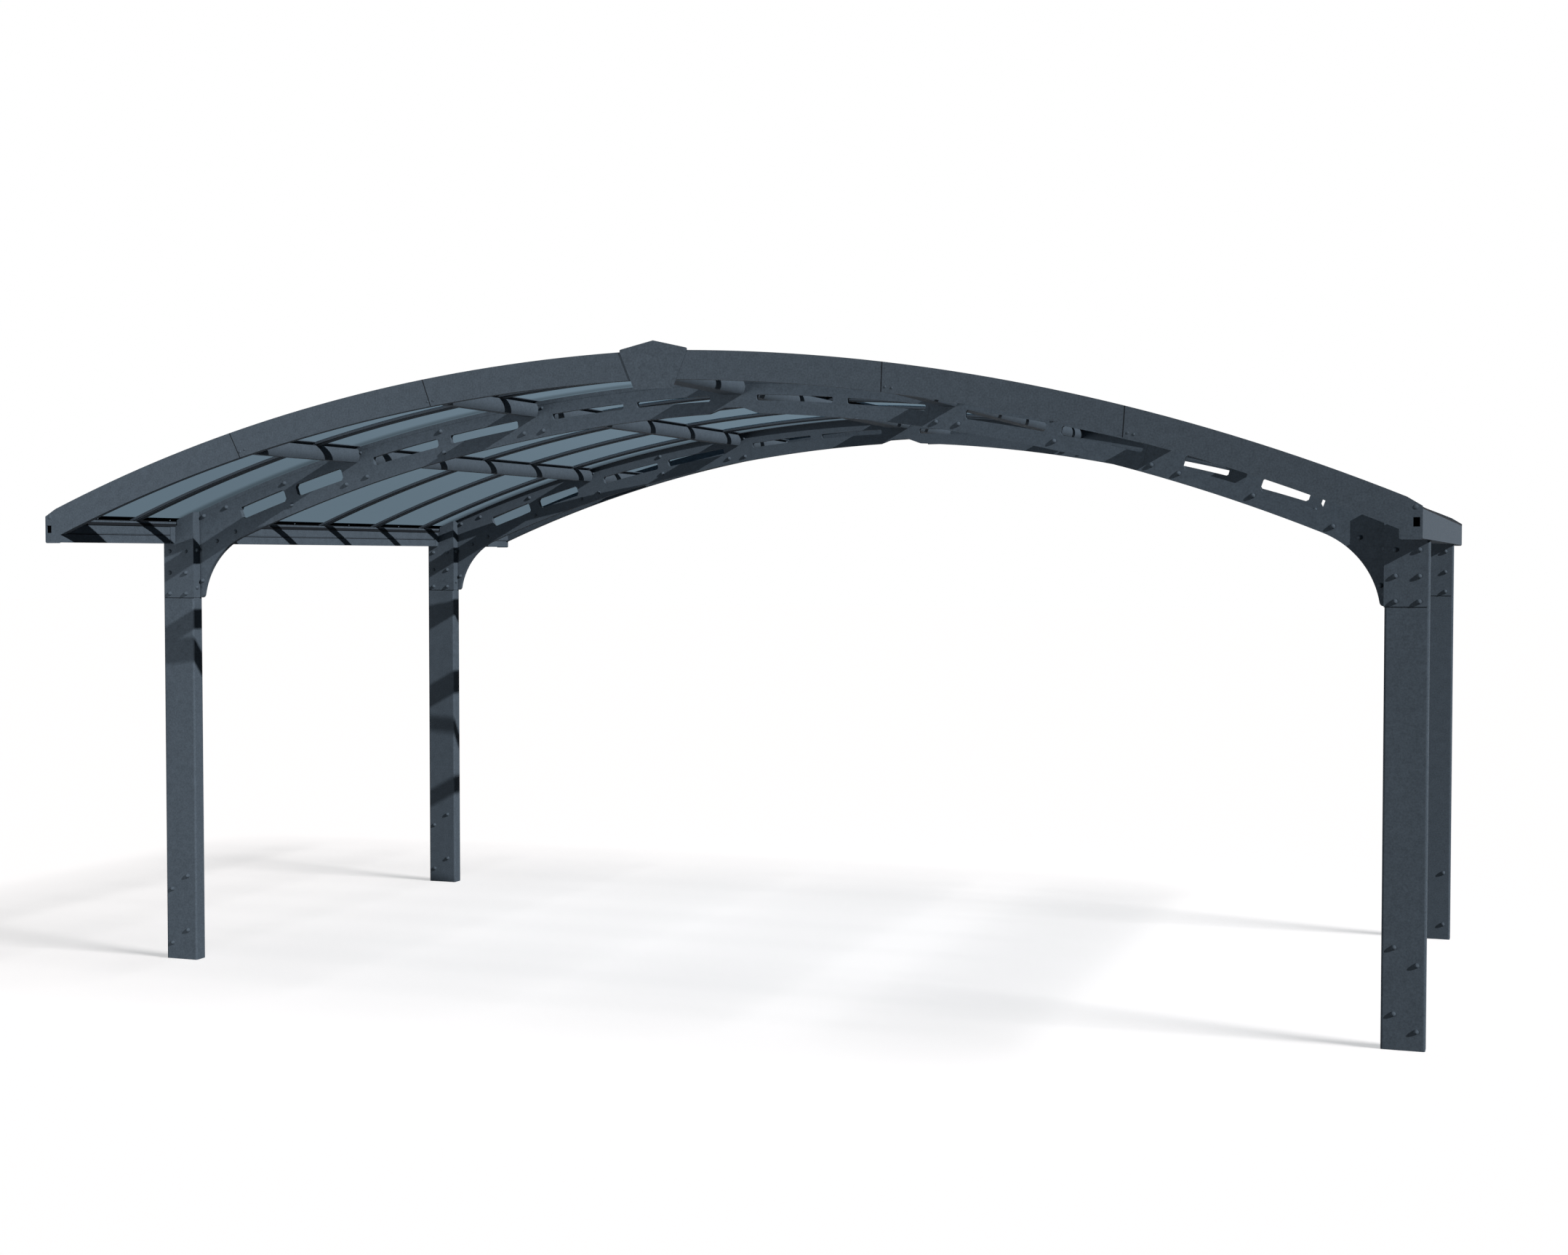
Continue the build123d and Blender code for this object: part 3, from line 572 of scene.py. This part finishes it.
def add_arc_strip(bm, profile, first, last, steps):
    """Profile, as (radius, place along the carport), swept on the right-hand roof arc and mirrored."""
    centre = Vector((-ROOF_OFFSET, 0, CENTRE_HEIGHT))
    before = set(bm.faces)
    corners = [bm.verts.new((-ROOF_OFFSET, y, CENTRE_HEIGHT + radius)) for radius, y in profile]
    loop = [bm.edges.new((corners[index - 1], corners[index])) for index in range(len(corners))]
    turn = Matrix.Rotation(first, 3, "Y")
    bmesh.ops.rotate(bm, cent=centre, matrix=turn, verts=corners)
    bmesh.ops.spin(bm, geom=corners + loop, cent=centre, axis=(0, 1, 0), angle=last - first, steps=steps)
    rim = [edge for edge in bm.edges if edge.is_boundary]
    bmesh.ops.holes_fill(bm, edges=rim, sides=0)
    made = [face for face in bm.faces if face not in before]
    twin = bmesh.ops.duplicate(bm, geom=made)
    verts = [item for item in twin["geom"] if isinstance(item, bmesh.types.BMVert)]
    bmesh.ops.scale(bm, vec=(-1, 1, 1), verts=verts)


class CARPORT_OT_coatings(bpy.types.Operator):
    """Give every solid of the carport its coating or glazing"""

    bl_idname = "carport.coatings"
    bl_label = "Coatings"

    def execute(self, context):
        coats = {FRAME_SLOT: frame_coat(), TRIM_SLOT: trim_coat(), BAR_SLOT: bar_coat(),
                 GLAZING_SLOT: tinted_panel()}
        for part in frame["record"]["subparts"]:
            node = frame["nodes"][part["node"]]
            node.data.materials.clear()
            # The eave strips get the near-black coat in place of the coat of their slot
            coat = seal_coat() if part["node"] == EAVE_STRIPS else coats[part["material_slot"]]
            node.data.materials.append(coat)
        return {"FINISHED"}


class CARPORT_OT_post_bolts(bpy.types.Operator):
    """Add the anchor bolts of the posts and the bolts of their head brackets"""

    bl_idname = "carport.post_bolts"
    bl_label = "Post bolts"

    def execute(self, context):
        sizes = settings("carport_fasteners")
        head = (sizes.bolt_diameter, sizes.bolt_rise)
        low_head = (sizes.bolt_diameter, sizes.bolt_rise * RETURN_RISE_SHARE)
        anchors = bmesh.new()
        plates = bmesh.new()
        for face in POST_FACES:
            for side in SIDES:
                for x, z in BASE_BOLTS:
                    add_dome(anchors, (side * x, face, z), FRONT, *head)
                for x, z in PLATE_BOLTS:
                    add_dome(plates, (side * x, face - PLATE_RISE, z), FRONT, *head)
                for z in RETURN_BOLTS:
                    place = (side * (POST_INNER - PLATE_RISE), face + RETURN_SET_BACK, z)
                    add_dome(plates, place, Vector((-side, 0, 0)), *low_head)
        add_piece("anchor_bolts", anchors, frame_coat(), DOME_ANGLE)
        add_piece("bracket_bolts", plates, frame_coat(), DOME_ANGLE)
        return {"FINISHED"}


class CARPORT_OT_arch_bolts(bpy.types.Operator):
    """Add the bolts on the webs of the two arch frames"""

    bl_idname = "carport.arch_bolts"
    bl_label = "Arch bolts"

    def execute(self, context):
        sizes = settings("carport_fasteners")
        head = (sizes.bolt_diameter, sizes.bolt_rise)
        small_head = (sizes.small_diameter, sizes.bolt_rise * SMALL_RISE_SHARE)
        for name, face in zip(ENDS, ARCH_FACES):
            bm = bmesh.new()
            for side in SIDES:
                for x, z in WEB_BOLTS:
                    add_dome(bm, (side * x, face, z), FRONT, *head)
                for x, z in PURLIN_BOLTS:
                    add_dome(bm, (side * x, face, z), FRONT, *small_head)
            add_piece(name + "_arch_bolts", bm, frame_coat(), DOME_ANGLE)
        return {"FINISHED"}


class CARPORT_OT_trim_fixings(bpy.types.Operator):
    """Add the rivets and end bolts of the front fascia, and the screws at the low edge of the panels"""

    bl_idname = "carport.trim_fixings"
    bl_label = "Trim fixings"

    def execute(self, context):
        sizes = settings("carport_fasteners")
        rivets = bmesh.new()
        for x, z in FASCIA_RIVETS:
            add_dome(rivets, (x, -ROOF_FRONT, z), FRONT, sizes.rivet_diameter, sizes.rivet_rise)
        x, z = FASCIA_END_BOLT
        for side in SIDES:
            add_dome(rivets, (side * x, -ROOF_FRONT, z), FRONT, sizes.end_diameter, sizes.rivet_rise)
        add_piece("fascia_rivets", rivets, trim_coat(), DOME_ANGLE)
        screws = bmesh.new()
        height = roof_height(PANEL_RADIUS, SCREW_X)
        slope = roof_angle(PANEL_RADIUS, SCREW_X)
        for start in BAY_ENDS[:-1]:
            for side in SIDES:
                place = (side * SCREW_X, start + BAY / 2, height)
                normal = Vector((-side * math.sin(slope), 0, -math.cos(slope)))
                add_dome(screws, place, normal, sizes.screw_diameter, sizes.screw_rise)
        add_piece("eave_screws", screws, frame_coat(), DOME_ANGLE)
        return {"FINISHED"}


class CARPORT_OT_joints_and_shade_lines(bpy.types.Operator):
    """Add the dark lines of the open joints in the fascia, the painted shade lines in the gutter grooves
    and the painted shadow lines under the head brackets
    """

    bl_idname = "carport.open_joints"
    bl_label = "Open joints"

    def execute(self, context):
        bm = bmesh.new()
        for end, normal in zip(ENDS, (FRONT, -FRONT)):
            for side in SIDE_NAMES:
                self.fascia_seams(bm, end, side, normal)
        for side, sign in zip(SIDE_NAMES, SIDES):
            low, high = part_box(side + "_gutter")
            # Painted shade: a near-black line along the groove of the inner wall
            groove = low.z + GROOVE_RISE
            start = Vector((sign * GUTTER_INNER, low.y, groove))
            stop = Vector((start.x, high.y, groove))
            add_dark_line(bm, start, stop, GROOVE_SHADE_WIDTH, Vector((-sign, 0, 0)))
            # Painted shadow: a near-black line just under the low edge of each head bracket plate
            for end, face in zip(ENDS, POST_FACES):
                low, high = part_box("head_bracket_" + end + "_" + side)
                height = low.z - PLATE_SHADOW_WIDTH / 2
                start = Vector((low.x, face, height))
                add_dark_line(bm, start, Vector((high.x, face, height)), PLATE_SHADOW_WIDTH, FRONT)
        add_piece("open_joints", bm, seal_coat(), FOLD_ANGLE)
        return {"FINISHED"}

    def fascia_seams(self, bm, end, side, normal):
        """Two tilted seams in one half of a fascia, from the boxes of its segments."""
        boxes = [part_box(end + "_fascia_" + side + "_" + name) for name in ("eave", "middle", "ridge")]
        face = normal.y * ROOF_FRONT
        for outer, inner in zip(boxes, boxes[1:]):
            if side == "left":
                top, foot = inner[0].x, outer[1].x
            else:
                top, foot = inner[1].x, outer[0].x
            start = Vector((top, face, roof_height(ROOF_RADIUS, top)))
            stop = Vector((foot, face, roof_height(FASCIA_LOWER_RADIUS, foot)))
            add_dark_line(bm, start, stop, SEAM_WIDTH, normal)


class CARPORT_OT_gutter_trim(bpy.types.Operator):
    """Add the rail on the inner wall of each gutter with a strip of painted shade under it, and a strip
    of painted shade along the top edge of its outer wall
    """

    bl_idname = "carport.gutter_trim"
    bl_label = "Gutter trim"

    def execute(self, context):
        low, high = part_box("right_gutter")
        rails = bmesh.new()
        add_box(rails, (RAIL_FACE, low.y, RAIL_FOOT), (RAIL_BACK, high.y, RAIL_TOP))
        add_piece("gutter_rails", rails, trim_coat(), FOLD_ANGLE)
        # Painted shade: a near-black strip under each rail, and one along the top edge of the outer wall
        shadings = bmesh.new()
        add_box(shadings, (SHADE_FACE, low.y, SHADE_FOOT), (GUTTER_INNER, high.y, RAIL_FOOT))
        edge = (high.x - GUTTER_EDGE_SHADE, low.y, high.z - GUTTER_EDGE_SHADE)
        add_box(shadings, edge, (high.x + DARK_LINE_RISE, high.y, high.z))
        add_piece("gutter_painted_shade", shadings, seal_coat(), FOLD_ANGLE)
        return {"FINISHED"}


class CARPORT_OT_glazing_bars(bpy.types.Operator):
    """Make the stepped glazing bars under the panel joints"""

    bl_idname = "carport.glazing_bars"
    bl_label = "Glazing bars"

    def execute(self, context):
        sizes = settings("carport_trim")
        bm = bmesh.new()
        top = PANEL_RADIUS - SEAT_GAP
        step = top - sizes.bar_flange
        wide = sizes.bar_width / 2
        narrow = sizes.rib_width / 2
        section = [(top, -wide), (top, wide), (step, wide), (step, narrow), (BAR_RADIUS, narrow),
                   (BAR_RADIUS, -narrow), (step, -narrow), (step, -wide)]
        first = roof_angle(top, BAR_RIDGE_X)
        last = roof_angle(top, BAR_EAVE_X)
        for place in BAY_ENDS[1:-1]:
            profile = [(radius, place + y) for radius, y in section]
            add_arc_strip(bm, profile, first, last, ARC_STEPS)
        bars = add_piece("stepped_glazing_bars", bm, bar_coat(), FOLD_ANGLE)
        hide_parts("left_glazing_bars", "right_glazing_bars")
        return {"FINISHED"}


class CARPORT_OT_arch_edges(bpy.types.Operator):
    """Add the folded edge along the top of the front arch and the flange along the top of the back one"""

    bl_idname = "carport.arch_edges"
    bl_label = "Arch edges"

    def execute(self, context):
        sizes = settings("carport_trim")
        front, back = ARCH_FACES
        folds = ((front, sizes.arch_strip, ARCH_EDGE_RISE), (back, sizes.flange_wall, sizes.arch_flange))
        first = roof_angle(ARCH_RADIUS, ARCH_RIDGE_X)
        last = roof_angle(ARCH_RADIUS, POST_INNER - PLATE_RISE)
        bm = bmesh.new()
        for face, depth, rise in folds:
            low = ARCH_RADIUS - depth
            section = [(ARCH_RADIUS, face - rise), (ARCH_RADIUS, face), (low, face), (low, face - rise)]
            add_arc_strip(bm, section, first, last, ARC_STEPS)
        add_piece("arch_top_edges", bm, frame_coat(), FOLD_ANGLE)
        return {"FINISHED"}


class CARPORT_OT_panel_seats(bpy.types.Operator):
    """Add the thin flat seats between the purlins and the panels"""

    bl_idname = "carport.panel_seats"
    bl_label = "Panel seats"

    def execute(self, context):
        sizes = settings("carport_trim")
        bm = bmesh.new()
        top = PANEL_RADIUS - SEAT_GAP
        low_side = top - sizes.seat_depth
        half_angle = sizes.seat_width / 2 / top
        clear = sizes.bar_width / 2 + SEAT_END_GAP
        for node in ("right_upper_purlin", "right_lower_purlin"):
            low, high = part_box(node)
            centre = roof_angle(top, (low.x + high.x) / 2)
            for start, stop in zip(BAY_ENDS, BAY_ENDS[1:]):
                front = start + clear
                back = stop - clear
                section = [(top, front), (top, back), (low_side, back), (low_side, front)]
                add_arc_strip(bm, section, centre - half_angle, centre + half_angle, SEAT_STEPS)
        add_piece("purlin_panel_seats", bm, frame_coat(), FOLD_ANGLE)
        return {"FINISHED"}


class CARPORT_OT_stage(bpy.types.Operator):
    """Set up the floor, the light and the camera"""

    bl_idname = "carport.stage"
    bl_label = "Stage"

    def execute(self, context):
        scene = context.scene
        scene.view_settings.view_transform = "Standard"
        floor = self.floor(scene)
        self.lights(scene, floor)
        self.world(scene)
        self.camera(scene)
        return {"FINISHED"}

    def floor(self, scene):
        """Wide white floor that shows only a soft shadow."""
        bm = bmesh.new()
        bmesh.ops.create_grid(bm, x_segments=1, y_segments=1, size=FLOOR_REACH)
        mesh = bpy.data.meshes.new("floor")
        bm.to_mesh(mesh)
        bm.free()
        floor = bpy.data.objects.new("floor", mesh)
        scene.collection.objects.link(floor)
        material = bpy.data.materials.new("white_floor")
        material.use_nodes = True
        tree = material.node_tree
        nodes = tree.nodes
        link = tree.links.new
        nodes.remove(nodes["Principled BSDF"])
        glow = nodes.new("ShaderNodeEmission")
        glow.inputs["Strength"].default_value = settings("carport_stage").floor_glow
        matt = nodes.new("ShaderNodeBsdfDiffuse")
        matt.inputs["Color"].default_value = FLOOR_COLOUR
        bright = nodes.new("ShaderNodeAddShader")
        dull = nodes.new("ShaderNodeBsdfDiffuse")
        dull.inputs["Color"].default_value = FLOOR_BOUNCE
        pick = nodes.new("ShaderNodeMixShader")
        link(glow.outputs[0], bright.inputs[0])
        link(matt.outputs[0], bright.inputs[1])
        link(seen_rays(tree), pick.inputs["Fac"])
        link(dull.outputs[0], pick.inputs[1])
        link(bright.outputs[0], pick.inputs[2])
        link(pick.outputs[0], nodes["Material Output"].inputs["Surface"])
        mesh.materials.append(material)
        return floor

    def lamp(self, scene, name, kind, energy, direction):
        """Lamp that shines in a direction."""
        data = bpy.data.lights.new(name, kind)
        data.energy = energy
        lamp = bpy.data.objects.new(name, data)
        lamp.rotation_euler = Vector(direction).to_track_quat("-Z", "Y").to_euler()
        scene.collection.objects.link(lamp)
        return lamp

    def lights(self, scene, floor):
        """Hard key and soft fill on the carport, a light from behind, and one on the floor alone."""
        levels = settings("carport_stage")
        key = self.lamp(scene, "key", "SUN", levels.key_strength, KEY_DIRECTION)
        key.data.angle = KEY_ANGLE
        fill = self.lamp(scene, "fill", "AREA", levels.fill_power, FILL_DIRECTION)
        fill.data.shape = "DISK"
        fill.data.size = FILL_SIZE
        fill.location = FILL_PLACE
        wash = self.lamp(scene, "floor_wash", "SUN", levels.floor_strength, WASH_DIRECTION)
        wash.data.angle = WASH_ANGLE
        back = self.lamp(scene, "back", "SUN", levels.back_strength, BACK_DIRECTION)
        back.data.angle = BACK_ANGLE
        panels = [frame["nodes"][side + "_roof_panels"] for side in SIDE_NAMES]
        for lamp in (key, fill, back):
            lamp.light_linking.receiver_collection = self.linked(lamp.name, [floor] + panels, "EXCLUDE")
        wash.light_linking.receiver_collection = self.linked(wash.name, [floor], "INCLUDE")
        clear = self.linked("clear_panels", panels, "EXCLUDE")
        for lamp in (key, wash):
            lamp.light_linking.blocker_collection = clear

    def linked(self, name, items, state):
        """Collection that a lamp includes or excludes."""
        collection = bpy.data.collections.new(name)
        for item in items:
            collection.objects.link(item)
        for entry in collection.collection_objects:
            entry.light_linking.link_state = state
        return collection

    def world(self, scene):
        """White for the camera and for reflections, and a low even light for the rest."""
        world = bpy.data.worlds.new("white_studio")
        scene.world = world
        world.use_nodes = True
        nodes = world.node_tree.nodes
        link = world.node_tree.links.new
        ambient = nodes["Background"]
        ambient.inputs["Color"].default_value = SKY_COLOUR
        ambient.inputs["Strength"].default_value = settings("carport_stage").ambient
        white = nodes.new("ShaderNodeBackground")
        white.inputs["Color"].default_value = WHITE
        white.inputs["Strength"].default_value = 1.0
        pick = nodes.new("ShaderNodeMixShader")
        link(seen_rays(world.node_tree), pick.inputs["Fac"])
        link(ambient.outputs[0], pick.inputs[1])
        link(white.outputs[0], pick.inputs[2])
        link(pick.outputs[0], nodes["World Output"].inputs["Surface"])

    def camera(self, scene):
        """Camera of the picture, on the right in front of the entrance."""
        data = bpy.data.cameras.new("camera")
        data.sensor_width = CAMERA_SENSOR
        data.lens = CAMERA_LENS
        data.clip_end = CAMERA_REACH
        camera = bpy.data.objects.new("camera", data)
        camera.location = CAMERA_PLACE
        camera.rotation_euler = (math.pi / 2 - CAMERA_DIP, 0, CAMERA_TURN)
        scene.collection.objects.link(camera)
        scene.camera = camera


OPERATORS = (
    CARPORT_OT_coatings,
    CARPORT_OT_post_bolts,
    CARPORT_OT_arch_bolts,
    CARPORT_OT_trim_fixings,
    CARPORT_OT_joints_and_shade_lines,
    CARPORT_OT_gutter_trim,
    CARPORT_OT_glazing_bars,
    CARPORT_OT_arch_edges,
    CARPORT_OT_panel_seats,
    CARPORT_OT_stage,
)
GROUPS = {
    "carport_finish": CarportFinish,
    "carport_fasteners": CarportFasteners,
    "carport_trim": CarportTrim,
    "carport_stage": CarportStage,
}


class CARPORT_PT_panel(bpy.types.Panel):
    """Sizes, colours and steps of the carport"""

    bl_idname = "CARPORT_PT_panel"
    bl_label = "Double carport"
    bl_space_type = "VIEW_3D"
    bl_region_type = "UI"
    bl_category = "Carport"

    def draw(self, context):
        for name, group in GROUPS.items():
            column = self.layout.column(align=True)
            for label in group.__annotations__:
                column.prop(settings(name), label)
        for operator in OPERATORS:
            self.layout.operator(operator.bl_idname)


def register():
    """Register the classes and hang the settings on the scene."""
    for cls in (*GROUPS.values(), *OPERATORS, CARPORT_PT_panel):
        bpy.utils.register_class(cls)
    for name, group in GROUPS.items():
        setattr(bpy.types.Scene, name, bpy.props.PointerProperty(type=group))


def unregister():
    """Take the settings and classes away again."""
    for name in GROUPS:
        delattr(bpy.types.Scene, name)
    for cls in (CARPORT_PT_panel, *reversed(OPERATORS), *reversed(list(GROUPS.values()))):
        bpy.utils.unregister_class(cls)


def main():
    """Dress the carport and set the stage."""
    register()
    bpy.ops.carport.coatings()
    bpy.ops.carport.post_bolts()
    bpy.ops.carport.arch_bolts()
    bpy.ops.carport.trim_fixings()
    bpy.ops.carport.open_joints()
    bpy.ops.carport.gutter_trim()
    bpy.ops.carport.glazing_bars()
    bpy.ops.carport.arch_edges()
    bpy.ops.carport.panel_seats()
    bpy.ops.carport.stage()


if __name__ == "__main__":
    main()
